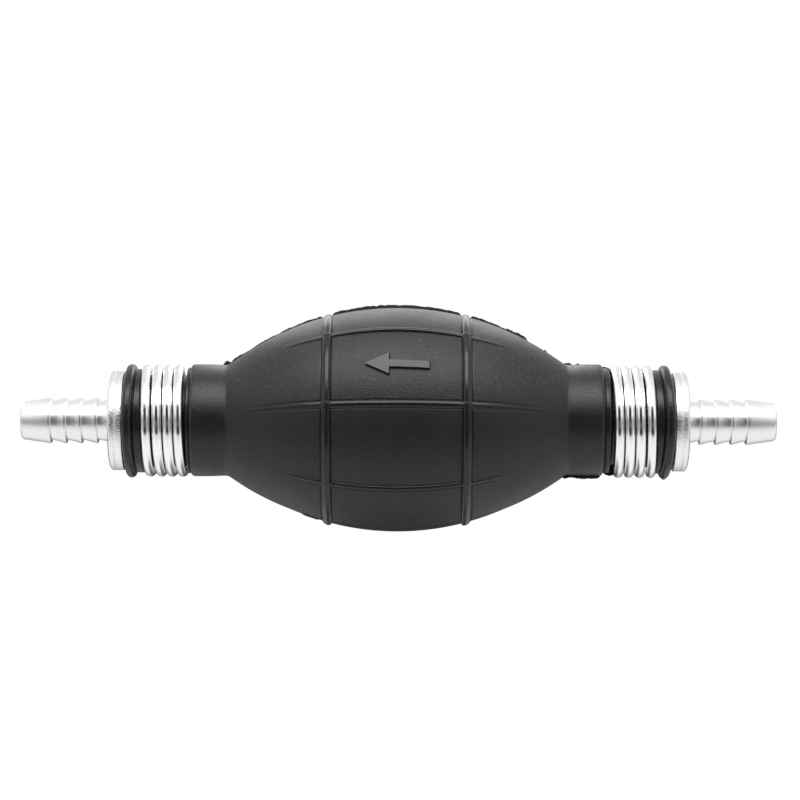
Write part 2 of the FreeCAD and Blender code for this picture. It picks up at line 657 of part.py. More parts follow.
parts = [make_bulb()]
for side, placement in (("inlet", INLET), ("outlet", OUTLET)):
    parts.append(make_fitting(side + "_fitting", placement))
    parts.append(make_clamp(side + "_clamp_coil", placement))
slack = "((Sizes.ring_groove_width - Sizes.ring_thickness) / 2)"
ring_place = f"({RING_IN} + {slack})"
parts.append(make_retaining_ring("inlet_retaining_ring", INLET, ring_place))
parts.append(make_retaining_ring("outlet_retaining_ring", OUTLET, f"(-{ring_place})"))
parts += make_valve("inlet", LEDGE)
parts += make_valve("outlet", f"(-{VALVE_IN})")
doc.recompute()

# Every object has to have come out sound before anything is written
for item in doc.Objects:
    if "Invalid" in item.State or "Error" in item.State:
        raise RuntimeError(f"{item.Label} failed: {item.State}")
for piece in parts:
    shape = piece.Shape
    if shape.isNull() or not shape.isValid() or not shape.Solids:
        raise RuntimeError(f"{piece.Label} isn't a sound solid")

os.makedirs("parts", exist_ok=True)
for piece in parts:
    piece.Shape.exportStep(f"parts/{piece.Label}.step")
    box = piece.Shape.BoundBox
    print(f"{piece.Label}: {len(piece.Shape.Solids)} solid, volume {piece.Shape.Volume:.1f}, "
          f"x {box.XMin:.2f} to {box.XMax:.2f}, r {box.ZMax:.2f}")
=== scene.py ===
import math
from functools import partial

import bpy
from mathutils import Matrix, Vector, noise


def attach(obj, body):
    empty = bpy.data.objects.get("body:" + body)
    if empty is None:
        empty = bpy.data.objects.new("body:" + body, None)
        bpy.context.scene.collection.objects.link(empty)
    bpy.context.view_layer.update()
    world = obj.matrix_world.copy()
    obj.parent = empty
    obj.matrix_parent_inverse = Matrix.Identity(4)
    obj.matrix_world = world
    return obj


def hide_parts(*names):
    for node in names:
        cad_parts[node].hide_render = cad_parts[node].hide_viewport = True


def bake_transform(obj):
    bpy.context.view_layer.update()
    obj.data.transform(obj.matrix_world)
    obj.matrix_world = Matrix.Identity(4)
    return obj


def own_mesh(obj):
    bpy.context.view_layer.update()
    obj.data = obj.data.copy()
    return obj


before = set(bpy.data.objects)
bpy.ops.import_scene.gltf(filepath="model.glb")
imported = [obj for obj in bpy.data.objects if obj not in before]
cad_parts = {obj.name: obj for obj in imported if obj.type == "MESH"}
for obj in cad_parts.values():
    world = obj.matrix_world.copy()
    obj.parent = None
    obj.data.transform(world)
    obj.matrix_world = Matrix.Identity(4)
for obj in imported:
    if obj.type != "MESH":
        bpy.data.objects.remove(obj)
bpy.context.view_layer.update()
scene = bpy.context.scene
scene.view_settings.view_transform = "Standard"


# The studio corner. The pump is held in the air, level with a long lens, inside white paper that
# lights it softly from all round. A soft lamp hangs above the front, and a weaker one above the
# back.
camera = bpy.data.objects.new("camera", bpy.data.cameras.new("camera"))
scene.collection.objects.link(camera)
scene.camera = camera
camera.data.lens = 135
camera.data.sensor_width = 36
camera.data.clip_start = 0.05
camera.location = (0.00027, -0.6378, 0.00453)
camera_roll = math.radians(-0.15)
camera.rotation_euler = (math.radians(90), camera_roll, 0)

lamp_distance = 0.7
for name, degrees, wide, deep, energy in (
    ("soft_lamp", 60, 0.9, 0.5, 5.3),
    ("rim_lamp", 140, 1.2, 0.38, 2.3),
):
    height = math.radians(degrees)
    lamp = bpy.data.objects.new(name, bpy.data.lights.new(name, "AREA"))
    scene.collection.objects.link(lamp)
    lamp.data.shape = "RECTANGLE"
    lamp.data.size = wide
    lamp.data.size_y = deep
    lamp.data.energy = energy
    lamp.location = (0, -lamp_distance * math.cos(height), lamp_distance * math.sin(height))
    lamp.rotation_euler = (math.radians(90) - height, 0, 0)

# The paper shows as white, but lights the pump with less, so that its colours stay plain
paper_shown = 1
paper_light = 0.27
paper = bpy.data.worlds.new("white_paper")
scene.world = paper
paper.use_nodes = True
nodes, links = paper.node_tree.nodes, paper.node_tree.links
nodes.clear()


def combine(kind, *sources):
    """A sum of a kind, such as MAXIMUM, of one or two sockets."""
    step = nodes.new("ShaderNodeMath")
    step.operation = kind
    for number, source in enumerate(sources):
        links.new(source, step.inputs[number])
    return step.outputs[0]


def in_gloss():
    """Share of what is seen in gloss or through glass."""
    path = nodes.new("ShaderNodeLightPath")
    return combine("MAXIMUM", path.outputs["Is Glossy Ray"], path.outputs["Is Transmission Ray"])


def in_view(gloss):
    """Share of what is seen at all, in gloss or by the camera itself."""
    path = nodes.new("ShaderNodeLightPath")
    return combine("MAXIMUM", path.outputs["Is Camera Ray"], gloss)


def mix_shaders(share, first, last):
    """Goes from the first shader to the last by the share."""
    both = nodes.new("ShaderNodeMixShader")
    links.new(share, both.inputs["Fac"])
    links.new(first.outputs[0], both.inputs[1])
    links.new(last.outputs[0], both.inputs[2])
    return both.outputs[0]


papers = []
for strength in (paper_light, paper_shown):
    glow = nodes.new("ShaderNodeBackground")
    glow.inputs["Color"].default_value = (1, 1, 1, 1)
    glow.inputs["Strength"].default_value = strength
    papers.append(glow)
output = nodes.new("ShaderNodeOutputWorld")
links.new(mix_shaders(in_view(in_gloss()), *papers), output.inputs["Surface"])


# The table: a pale board well below the pump. It shows as white, with a little of the pump's soft
# shadow close to the middle. Gloss sees less of it, as painted shade: a dimmer front edge, half of
# it far behind, and a painted shadow of the belly, next to nothing, under and behind it.
table_drop = -100
table_front = -188
table_back = 280
table_half = 900
white_in_shadow = 0.8
# How bright gloss sees the table: painted shade at the front edge and far behind, and a painted
# belly shadow
front_edge_painted_shade = 0.76
far_back_painted_shade = 0.5
belly_painted_shadow = 0.12


def skin(name, rings, round_trip=True, closed=False, capped=False):
    """Lays a skin over rings of points given in millimetres. closed joins last ring to first."""
    count = len(rings[0])
    points = [Vector(point) * 0.001 for ring in rings for point in ring]
    faces = []
    for row in range(len(rings) if closed else len(rings) - 1):
        here = row * count
        there = (row + 1) % len(rings) * count
        for column in range(count if round_trip else count - 1):
            after = (column + 1) % count
            faces.append((here + column, here + after, there + after, there + column))
    if capped:
        faces.append(tuple(range(count))[::-1])
        faces.append(tuple(range(len(points) - count, len(points))))
    mesh = bpy.data.meshes.new(name)
    mesh.from_pydata(points, [], faces)
    mesh.shade_smooth()
    piece = bpy.data.objects.new(name, mesh)
    scene.collection.objects.link(piece)
    return piece


def finish(name, colour, metallic, roughness):
    """A new material, its nodes and links, and its surface shader."""
    material = bpy.data.materials.new(name)
    material.use_nodes = True
    tree = material.node_tree
    surface = tree.nodes["Principled BSDF"]
    surface.inputs["Base Color"].default_value = (*colour, 1)
    surface.inputs["Metallic"].default_value = metallic
    surface.inputs["Roughness"].default_value = roughness
    return material, tree.nodes, tree.links, surface


def place_on_piece():
    """The place of each spot of a piece, in metres."""
    return nodes.new("ShaderNodeTexCoord").outputs["Object"]


def split(place):
    """The three parts of a place, by the names of their axes."""
    parts = nodes.new("ShaderNodeSeparateXYZ")
    links.new(place, parts.inputs[0])
    return parts.outputs


def length_of(place):
    """How far a place lies from the middle."""
    step = nodes.new("ShaderNodeVectorMath")
    step.operation = "LENGTH"
    links.new(place, step.inputs[0])
    return step.outputs["Value"]


def fade(source, low, high, first=0.0, last=1.0):
    """Runs softly from one value to another as the source goes from low to high."""
    step = nodes.new("ShaderNodeMapRange")
    step.interpolation_type = "SMOOTHSTEP"
    step.inputs["From Min"].default_value = low
    step.inputs["From Max"].default_value = high
    step.inputs["To Min"].default_value = first
    step.inputs["To Max"].default_value = last
    links.new(source, step.inputs["Value"])
    return step.outputs["Result"]


def mix(share, first, last):
    """Goes from the first value or socket to the last by the share."""
    step = nodes.new("ShaderNodeMix")
    links.new(share, step.inputs["Factor"])
    for socket, source in ((step.inputs[2], first), (step.inputs[3], last)):
        if isinstance(source, (int, float)):
            socket.default_value = source
        else:
            links.new(source, socket)
    return step.outputs[0]


table = skin(
    "pale_table",
    [[(x, y, table_drop) for x in (-table_half, table_half)] for y in (table_front, table_back)],
    round_trip=False,
)
pale, nodes, links, surface = finish("pale_table", (0.9, 0.9, 0.9), 0, 0.9)
place = place_on_piece()
axes = split(place)
gloss = in_gloss()
lit = fade(length_of(place), 0.11, 0.17, white_in_shadow, 1.0)
front_painted_shade = fade(axes["Y"], -0.19, -0.05, front_edge_painted_shade, 1.0)
beside_belly_painted_shade = mix(fade(axes["Y"], 0.05, 0.12), front_painted_shade, far_back_painted_shade)
by_belly_painted_shadow = mix(fade(axes["Y"], -0.03, 0.05), front_painted_shade, belly_painted_shadow)
from_middle = combine("ABSOLUTE", axes["X"])
white = nodes.new("ShaderNodeEmission")
# Gloss sees painted shade and a painted shadow of the belly, set by place on the table
links.new(
    mix(gloss, 1.0, mix(fade(from_middle, 0.03, 0.045), by_belly_painted_shadow, beside_belly_painted_shade)),
    white.inputs["Strength"],
)
share = combine("MULTIPLY", in_view(gloss), lit)
links.new(mix_shaders(share, surface, white), nodes["Material Output"].inputs["Surface"])
table.data.materials.append(pale)


# The opening in the paper: dark behind the camera, with a grey gap that runs on from it all round
# the table. Only gloss sees it. It draws the dark streaks along the metal, and keeps the rubber's
# front dark.
opening_radius = 800
opening_steps = 96
opening_bottom = -0.9
opening_top = math.tan(math.radians(40))
gap_top = math.tan(math.radians(12))
dark_glow = 0.03
dark_glow_low = 0.11
side_glow = 0.42
back_glow = 0.5
back_low_painted_shade = 0.1

opening_rings = []
for height in (opening_bottom, opening_top):
    ring = []
    for step in range(opening_steps):
        angle = math.tau * step / opening_steps
        ring.append(
            (
                opening_radius * math.sin(angle),
                -opening_radius * math.cos(angle),
                opening_radius * height,
            )
        )
    opening_rings.append(ring)
opening = skin("dark_opening", opening_rings)
dark, nodes, links, surface = finish("dark_opening", (0, 0, 0), 0, 1)
nodes.remove(surface)
axes = split(place_on_piece())


def on_opening(axis, low, high, first=0.0, last=1.0):
    """A fade along an axis, from low to high as shares of the opening's radius."""
    reach = opening_radius * 0.001
    return fade(axes[axis], low * reach, high * reach, first, last)


front = on_opening("Y", -0.80, -0.92)
low_front = on_opening("Z", -0.26, -0.18, dark_glow, dark_glow_low)
front_glow = mix(on_opening("Z", -0.05, 0.08), low_front, dark_glow)
# Behind and low down the gap is dimmer: a painted shade
behind = on_opening("Z", -0.08, -0.02, back_low_painted_shade, back_glow)
gap_glow = mix(on_opening("Y", 0.1, 0.5), side_glow, behind)
glow = nodes.new("ShaderNodeEmission")
links.new(mix(front, gap_glow, front_glow), glow.inputs["Strength"])
above = mix(front, on_opening("Z", 0.05, gap_top), on_opening("Z", 0.46, 0.82))
through = nodes.new("ShaderNodeBsdfTransparent")
links.new(mix_shaders(above, glow, through), nodes["Material Output"].inputs["Surface"])
opening.data.materials.append(dark)
opening.visible_camera = False


# The grey cards: two light cards, bent over the metal ends from the soft lamp to the back. They
# keep the paper's glare off the upper edges, so that the bright metal stands out from it. Only
# gloss sees them.
pump_ends = {"inlet": 1, "outlet": -1}
card_radius = 70
card_edges = (45, 110)
card_bend = range(66, 177, 5)
card_glow = 0.82

card_grey, nodes, links, surface = finish("grey_card", (0, 0, 0), 0, 1)
nodes.remove(surface)
glow = nodes.new("ShaderNodeEmission")
glow.inputs["Strength"].default_value = card_glow
links.new(glow.outputs[0], nodes["Material Output"].inputs["Surface"])
for side, way in pump_ends.items():
    card_rings = []
    for degrees in card_bend:
        y = -card_radius * math.cos(math.radians(degrees))
        z = card_radius * math.sin(math.radians(degrees))
        card_rings.append([(way * x, y, z) for x in card_edges])
    card = skin(side + "_card", card_rings, round_trip=False)
    card.data.materials.append(card_grey)
    card.visible_camera = False
    card.visible_diffuse = False
    card.visible_transmission = False
    card.visible_shadow = False


# The squeeze bulb: one hollow moulding of black rubber, a barrel-shaped belly with ring ribs and
# lengthwise ribs between two necks. Each neck has a cuff, a seat for the wire clamp between two
# narrow bands, and a bead. Ribs and necks come shinier out of the mould than the blasted belly.
bulb_radius = 23.55
bulb_wall = 4
belly_arc = 60.0
belly_reach = 35.8
corner_softness = 0.06
cuff_radius = 11.9
cuff_hollow = 0.15
cuff_hollow_run = 4
cuff_end = 43.62
bore_radius = 8.05
mouth = 57.944

# The belly lies a little above the line of the necks and towards the outlet, and the cuffs a
# little above it. This ends at the clamp seats.
belly_lift = 0.5
belly_level = 18
cuff_lift = {1: 0.3, -1: 0.12}
belly_drift = -0.38
drift_end = (43.3, 45.2)

# The ring ribs, which are trimmed low at the top seam and stand a little high at the bottom one
ring_rib_place = {1: 14.6, -1: 14.7}
ring_rib_round = 1.04
ring_rib_height = 0.75
seam_degrees = (97.5, -82.5)
seam_angles = [math.radians(degrees) for degrees in seam_degrees]
top_trim = 0.42
top_trim_spread = 0.26
bottom_swell = 0.12
bottom_swell_spread = 0.3

# Each lengthwise rib: its angle from the front in degrees, the round of its top, and the arc that
# its crest follows. Those in front and behind are wider and longer than the others.
wide_rib = (1.03, 57.5)
narrow_rib = (0.68, 55.5)
ribs = [
    (8.0, *wide_rib),
    (52.5, *narrow_rib),
    (97.5, *narrow_rib),
    (142.5, *narrow_rib),
    (187.5, *wide_rib),
    (232.5, *narrow_rib),
    (277.5, *narrow_rib),
    (322.5, *narrow_rib),
]
rib_height = 0.45
faded_rib = 0.12
panel_steps = 12
# A fine crease runs along the foot of each rib. How far beside the rib the foot's points lie, and
# whether the crease is there
rib_crease = 0.11
crease_fade = (0.02, 0.15)
rib_foot = ((0.36, 0), (0.2, 0), (0.1, 1), (0.02, 1))
foot_reach = rib_foot[0][0]

# Polish: 0 is the blasted belly, and 1 the bare gloss of the mould
rib_polish = 1.0
cuff_polish = 0.55
cuff_polish_run = (35.6, belly_reach)
mouth_polish = 0.8


def end_of(x):
    """1 on the inlet's half of the bulb, -1 on the outlet's."""
    return 1 if x > 0 else -1


def soft_step(value, low, high):
    """0 up to low, 1 from high on, and a smooth run between them."""
    share = min(max((value - low) / (high - low), 0.0), 1.0)
    return share * share * (3 - 2 * share)


def on_bulb(x, radius, angle):
    """A point of the bulb, by its place along the axis, its radius and its angle from the front."""
    held = 1 - soft_step(abs(x), *drift_end)
    at_cuff = cuff_lift[end_of(x)]
    lift = at_cuff + (belly_lift - at_cuff) * (1 - soft_step(abs(x), belly_level, belly_reach))
    return (
        x + belly_drift * held,
        -radius * math.cos(angle),
        radius * math.sin(angle) + lift * held,
    )


def belly_radius(x):
    """Radius of the belly's barrel, by the place along the axis."""
    return bulb_radius - belly_arc + math.sqrt(belly_arc**2 - x * x)


def body_radius(x):
    """Belly and cuff in one line, with a small hollow round where they meet."""
    x = abs(x)
    hollow = 1 - soft_step(x, belly_reach, belly_reach + cuff_hollow_run)
    cuff = cuff_radius - cuff_hollow * hollow
    belly = belly_radius(x)
    return (belly + cuff + math.sqrt((belly - cuff) ** 2 + corner_softness)) / 2


def ring_rise(x, angle):
    """Height of a ring rib's rounded top over the belly."""
    off = abs(abs(x) - ring_rib_place[end_of(x)])
    if off >= ring_rib_round:
        return 0.0
    from_top, from_bottom = (math.remainder(angle - seam, math.tau) for seam in seam_angles)
    height = ring_rib_height - top_trim * math.exp(-((from_top / top_trim_spread) ** 2))
    height += bottom_swell * math.exp(-((from_bottom / bottom_swell_spread) ** 2))
    return max(math.sqrt(ring_rib_round**2 - off**2) - ring_rib_round + height, 0.0)


def rib_rise(x, arc):
    """Height of a lengthwise rib's crest over the belly: it sinks in towards the necks."""
    crest = bulb_radius + rib_height - arc + math.sqrt(arc**2 - x * x)
    return crest - belly_radius(x)


def rib_section(rise, rib_round, polish):
    """Half width and foot of a rib, and its (across, height, polish) points from side to side."""
    half = math.sqrt(rib_round**2 - (rib_round - rise) ** 2)
    sweep = math.asin(min(half / rib_round, 1.0))
    edge = max(half, faded_rib)
    foot = -rib_crease * soft_step(rise, *crease_fade)
    section = [(-edge - off, foot * deep, polish) for off, deep in rib_foot]
    for step in range(9):
        if half > faded_rib:
            lean = sweep * (step / 4 - 1)
            top = max(rib_round * (math.cos(lean) - 1) + rise, 0.0)
            section.append((rib_round * math.sin(lean), top, rib_polish))
        else:
            section.append((edge * (step / 4 - 1), 0.0, polish))
    section += [(edge + off, foot * deep, polish) for off, deep in reversed(rib_foot)]
    return edge, foot, section


def belly_ring(x, crease=0.0):
    """One ring of (point, polish) round the belly, crowded together on every rib."""
    radius = body_radius(x)
    on_ring = abs(abs(x) - ring_rib_place[end_of(x)]) < ring_rib_round * 0.95
    plain_polish = cuff_polish * soft_step(abs(x), *cuff_polish_run)
    if on_ring or crease:
        plain_polish = rib_polish
    sections = []
    for degrees, rib_round, arc in ribs:
        rise = max(rib_rise(x, arc), 0.0) if abs(x) < belly_reach - 1 else 0.0
        sections.append((degrees, *rib_section(rise, rib_round, plain_polish)))
    ring = []
    for number, (degrees, edge, foot, section) in enumerate(sections):
        middle = math.radians(degrees)
        for across, top, polish in section:
            angle = middle + across / radius
            rise = ring_rise(x, angle)
            height = math.hypot(rise, max(top, 0)) if rise else top
            if crease and top <= 0.05:
                height = min(-crease, foot)
            ring.append((angle, radius + height, polish))
        next_degrees, next_edge = sections[(number + 1) % len(sections)][:2]
        start = middle + (edge + foot_reach) / radius
        panel = math.radians((next_degrees - degrees) % 360)
        panel -= (next_edge + foot_reach + edge + foot_reach) / radius
        for step in range(1, panel_steps):
            angle = start + panel * step / panel_steps
            height = -crease if crease else ring_rise(x, angle)
            ring.append((angle, radius + height, plain_polish))
    return [(on_bulb(x, r, angle), polish) for angle, r, polish in ring]


# A ring of the plain cuff gives the angles for the rings of the necks and of the hollow
plain_place = 40.0
round_angles = [math.atan2(z, -y) for (x, y, z), polish in belly_ring(plain_place)]

# The clamp's wire, by turns from the front of its innermost pass. The neck follows it too
wire_radius = 1.07
coil_turns = 3
coil_radius = 10.82
coil_pitch = 2.25
coil_flatness = 0.36
coil_extra = 0.15
coil_tail = 0.28
coil_first = 46.172


def coil_place(turn):
    """Place of the wire along the axis: it lies nearly square in front and steps over behind."""
    sway = coil_flatness * math.sin(math.tau * turn) / math.tau
    spread = coil_extra * soft_step(turn, coil_turns - 0.75, coil_turns)
    return coil_first + coil_pitch * (turn - sway) + spread


def seat_shift(angle, side):
    """How far the clamp seat's outer shoulder moves at an angle, to follow the wire."""
    turn = (-side * angle / math.tau + 0.5) % 1 - 0.5
    held = min(max(turn, -coil_tail), coil_tail)
    last_pass = coil_place(coil_turns)
    shift = coil_place(coil_turns + held) - last_pass
    if abs(turn) > coil_tail:
        far = coil_place(coil_turns + coil_tail) - last_pass
        near = coil_place(coil_turns - coil_tail) - last_pass
        shift = far + (near - far) * soft_step(turn % 1, coil_tail, 1 - coil_tail)
    return shift


# The neck from cuff to mouth: place, radius, and how much of the outermost turn's sway it follows
seat_radius = 9.71
neck_line = [
    (41.2, cuff_radius, 0),
    (42.4, cuff_radius, 0),
    (42.95, 11.88, 0),
    (43.2, 11.8, 0),
    (43.4, 11.65, 0),
    (43.53, 11.45, 0),
    (43.6, 11.22, 0),
    (43.62, 10.98, 0),
    (43.71, 10.96, 0),
    (43.74, 11.08, 0),
    (43.8, 11.18, 0),
    (43.92, 11.21, 0),
    (44.4, 11.21, 0),
    (44.52, 11.18, 0),
    (44.58, 11.1, 0),
    (44.61, 10.95, 0),
    (44.63, 9.9, 0),
    (44.68, 9.73, 0),
    (45.0, seat_radius, 0),
    (46.8, seat_radius, 0),
    (49.3, seat_radius, 0.1),
    (52.8, seat_radius, 1),
    (53.9, seat_radius, 1),
    (54.17, 9.73, 1),
    (54.2, 10.3, 1),
    (54.22, 10.8, 1),
    (54.26, 10.93, 1),
    (54.36, 10.99, 1),
    (54.55, 11.01, 0.9),
    (55.1, 11.02, 0.4),
    (55.5, 11.01, 0),
    (55.66, 10.97, 0),
    (55.74, 10.86, 0),
    (55.78, 10.6, 0),
    (55.98, 10.58, 0),
]
# The bead: a round lip that is a little square, pinched at the bottom seam, and bowed in at top
# and bottom together with the band beside it
bead_start = 56
bead_middle = 56.97
bead_width = 1.04
bead_height = 1.2
bead_root = 10.8
bead_square = 0.8
bead_pinch = {1: 0.35, -1: 0.12}
pinched_from = 11.3
pinch_width = 0.7
pinch_spread = 0.22
bead_bow = {1: 0.7, -1: 0.35}
bow_run = (54.6, 55.9)
for degrees in range(170, -1, -10):
    along = math.cos(math.radians(degrees))
    out = math.sin(math.radians(degrees))
    x = bead_middle + bead_width * math.copysign(abs(along) ** bead_square, along)
    neck_line.append((x, bead_root + bead_height * out**bead_square, 0))
neck_line += [(mouth, 10.4, 0), (mouth, 9.2, 0), (mouth, 8.2, 0)]


def neck_ring(side, x, radius, sway):
    """One ring of (point, polish) of the neck. side is 1 for the inlet's end, -1 for the other."""
    polish = cuff_polish if x < cuff_end else mouth_polish
    ring = []
    for angle in round_angles:
        shift = sway * seat_shift(angle, side)
        shift -= bead_bow[side] * math.sin(angle) ** 2 * soft_step(x, *bow_run)
        pinch = 0.0
        if x > bead_start and radius > pinched_from:
            off = math.remainder(angle - seam_angles[1], math.tau)
            near = max(1 - abs(x - bead_middle) / pinch_width, 0.0)
            pinch = bead_pinch[side] * math.exp(-((off / pinch_spread) ** 2)) * near
        ring.append((on_bulb(side * (x + shift), radius + pinch, angle), polish))
    return ring


ring_rib_sweep = math.acos(1 - ring_rib_height / ring_rib_round)
ring_rib_edge = ring_rib_round * math.sin(ring_rib_sweep)
places_inside = [step * 1.2 for step in range(11)]
places_outside = [*range(17, 35), 34.6, 35.0, 35.3, 35.6, 35.8]
places_outside += [36.05, 36.3, 36.7, 37.3, 38.2, 39.2, 40.2]


def belly_stations(side):
    """Where one half of the belly gets its rings of points, crowded together on its ring rib."""
    middle = ring_rib_place[side]
    stations = [(x, 0) for x in places_inside]
    stations += [(middle - ring_rib_edge - off, rib_crease * deep) for off, deep in rib_foot]
    for step in range(11):
        lean = ring_rib_sweep * (step / 5 - 1)
        stations.append((middle + ring_rib_round * math.sin(lean), 0))
    for off, deep in reversed(rib_foot):
        stations.append((middle + ring_rib_edge + off, rib_crease * deep))
    stations += [(x, 0) for x in places_outside]
    return [(side * x, crease) for x, crease in stations]


shaped = [neck_ring(-1, *station) for station in reversed(neck_line)]
shaped += [belly_ring(*station) for station in reversed(belly_stations(-1)[1:])]
shaped += [belly_ring(*station) for station in belly_stations(1)]
shaped += [neck_ring(1, *station) for station in neck_line]

hollow_radius = bulb_radius - bulb_wall
hollow_arc = belly_arc - bulb_wall
hollow_reach = math.sqrt(hollow_arc**2 - (hollow_arc - hollow_radius + bore_radius) ** 2)
hollow_steps = 32
bore_places = (mouth, 50, hollow_reach + 0.4)
inner_line = [(x, bore_radius) for x in bore_places]
for step in range(hollow_steps + 1):
    x = hollow_reach * math.cos(math.pi * step / hollow_steps)
    inner_line.append((x, hollow_radius - hollow_arc + math.sqrt(hollow_arc**2 - x * x)))
inner_line += [(-x, bore_radius) for x in reversed(bore_places)]
for x, radius in inner_line:
    shaped.append([(on_bulb(x, radius, angle), 0.0) for angle in round_angles])
bulb = skin("rubber_bulb", [[point for point, polish in ring] for ring in shaped], closed=True)


def set_polish(piece, values):
    """Stores the polish of each point of a piece, which the rubber's finish reads."""
    polished = piece.data.attributes.new("polish", "FLOAT", "POINT")
    polished.data.foreach_set("value", values)


set_polish(bulb, [polish for ring in shaped for point, polish in ring])

rubber, nodes, links, surface = finish("moulded_rubber", (0.013, 0.0127, 0.0123), 0, 0.4)
surface.inputs["Specular IOR Level"].default_value = 0.39
place = place_on_piece()


def spots(scale, detail, stretch=None):
    """A cloudy pattern, scale patches to a metre, stretched by three factors if they are given."""
    pattern = nodes.new("ShaderNodeTexNoise")
    pattern.inputs["Scale"].default_value = scale
    pattern.inputs["Detail"].default_value = detail
    source = place
    if stretch:
        step = nodes.new("ShaderNodeMapping")
        step.inputs["Scale"].default_value = stretch
        links.new(place, step.inputs["Vector"])
        source = step.outputs["Vector"]
    links.new(source, pattern.inputs["Vector"])
    return pattern.outputs["Fac"]


def swing(pattern, first=0.0, last=1.0):
    """Runs from the first value to the last over the full swing of a cloudy pattern."""
    return fade(pattern, 0.3, 0.7, first, last)


def tint(share, first, last):
    """Goes from the first colour or socket to the last by the share."""
    step = nodes.new("ShaderNodeMix")
    step.data_type = "RGBA"
    links.new(share, step.inputs["Factor"])
    for socket, source in ((step.inputs[6], first), (step.inputs[7], last)):
        if isinstance(source, tuple):
            socket.default_value = (*source, 1)
        else:
            links.new(source, socket)
    return step.outputs[2]


def relief(height, depth, strength, under=None):
    """Bump of a height in metres, laid over another one if it is given."""
    step = nodes.new("ShaderNodeBump")
    step.inputs["Distance"].default_value = depth
    if isinstance(strength, (int, float)):
        step.inputs["Strength"].default_value = strength
    else:
        links.new(strength, step.inputs["Strength"])
    links.new(height, step.inputs["Height"])
    if under:
        links.new(under, step.inputs["Normal"])
    return step.outputs["Normal"]


def give(quality, source):
    """Gives the surface a quality, such as Roughness, from a socket."""
    links.new(source, surface.inputs[quality])


mould = nodes.new("ShaderNodeAttribute")
mould.attribute_name = "polish"
polish = mould.outputs["Fac"]
grain = spots(4000, 3)
cloud = spots(140, 3)
shade = tint(fade(grain, 0.35, 0.75), (0.0095, 0.0094, 0.0095), (0.017, 0.0168, 0.0168))

# Painted glints: pale specks in the grain, in patches, that stand in for light caught by the grain,
# more on the upper, lit side, and none on the polished ribs
cells = nodes.new("ShaderNodeTexVoronoi")
cells.inputs["Scale"].default_value = 2300
links.new(place, cells.inputs["Vector"])
painted_glints = fade(cells.outputs["Distance"], 0.12, 0.3, 1.0, 0.0)
painted_glints = mix(fade(spots(1300, 1), 0.46, 0.6), 0.0, painted_glints)
painted_glints = mix(fade(split(place)["Z"], 0.002, 0.009, 0.15, 1.0), 0.0, painted_glints)
painted_glints = mix(fade(polish, 0.6, 1.0), painted_glints, 0.0)
shade = tint(painted_glints, shade, (0.14, 0.14, 0.146))

# The arrow's face is greyer than the rest, a painted highlight for its smoother face, and its
# polish is over 1
give("Base Color", tint(fade(polish, 1.1, 1.5), shade, (0.05, 0.05, 0.055)))
give("Roughness", mix(polish, swing(cloud, 0.38, 0.44), swing(cloud, 0.18, 0.23)))
rough = relief(grain, 0.00011, fade(polish, 0.5, 1.0, 0.8, 0.15))
give("Normal", relief(cloud, 0.0004, 0.25, rough))
bulb.data.materials.append(rubber)
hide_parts("bulb_shell")
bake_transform(bulb)


# The flow arrow: moulded on with the bulb, a flat raised arrow in one panel of the belly that
# points along the flow, from the inlet to the outlet. Its face is smooth and its back ends are
# sloped off, to come out of the mould.
arrow_angle = math.radians(28.6)
arrow_lean = 0.3
arrow_tip = -6.5
arrow_back = -1.65
arrow_end = 6.65
arrow_half = 2.5
tip_half = 0.12
shaft_half = 0.86
shaft_lap = 0.3
arrow_height = 0.58
arrow_sink = -0.1
arrow_root = 0.15
arrow_draft = 0.28
arrow_edge = 0.05
arrow_edge_drop = 0.04
arrow_face_inset = 0.08
arrow_least = 0.06
# Polish over 1 also pales the arrow's face: a painted highlight
arrow_polish_and_highlight = 1.5
arrow_steps = 12


def raised_patch(columns):
    """Rings and polish of a flat raised patch on the belly, from (x, half, height) columns."""
    rings, polish = [], []
    for x, half, height in columns:
        lean = arrow_lean * (arrow_end - x) / (arrow_end - arrow_tip)
        floor = belly_radius(x) - arrow_root
        top = max(belly_radius(x) + height, floor + arrow_least)
        side = top - arrow_edge_drop
        outline = [(-half - arrow_edge, floor), (-half, side), (-half + arrow_edge, top)]
        inside = max(half - arrow_face_inset, 0.01)
        outline += [(inside * (step / 4 - 1), top) for step in range(9)]
        outline += [(half - arrow_edge, top), (half, side), (half + arrow_edge, floor)]
        rings.append([on_bulb(x, r, arrow_angle + (across + lean) / top) for across, r in outline])
        face = arrow_polish_and_highlight if height > 0 else 0.0
        polish += [face if radius == top else 0.0 for across, radius in outline]
    return rings, polish


for name, first, first_half, last, last_half, end_half in (
    ("arrow_head", arrow_tip, tip_half, arrow_back, arrow_half, arrow_half - arrow_edge),
    ("arrow_shaft", arrow_back - shaft_lap, shaft_half, arrow_end, shaft_half, shaft_half),
):
    columns = []
    for step in range(arrow_steps + 1):
        share = step / arrow_steps
        half = first_half + (last_half - first_half) * share
        columns.append((first + (last - first) * share, half, arrow_height))
    columns.append((last + arrow_draft, end_half, arrow_sink))
    rings, polish = raised_patch(columns)
    piece = skin(name, rings, capped=True)
    piece.data.set_sharp_from_angle(angle=math.radians(40))
    set_polish(piece, polish)
    piece.data.materials.append(rubber)
    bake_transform(piece)


# The mould flash: the thin ragged edge of rubber that squeezed out where the mould's halves met,
# trimmed off by hand but never quite, along the top and in a few places underneath.
flash_half = 0.1
flash_step = 0.3
flash_root = 0.25
seam_rib_end = 24
cuff_face = 43.2
band_radius = 11.2
band_end = 44.4
seat_floor = 9.6


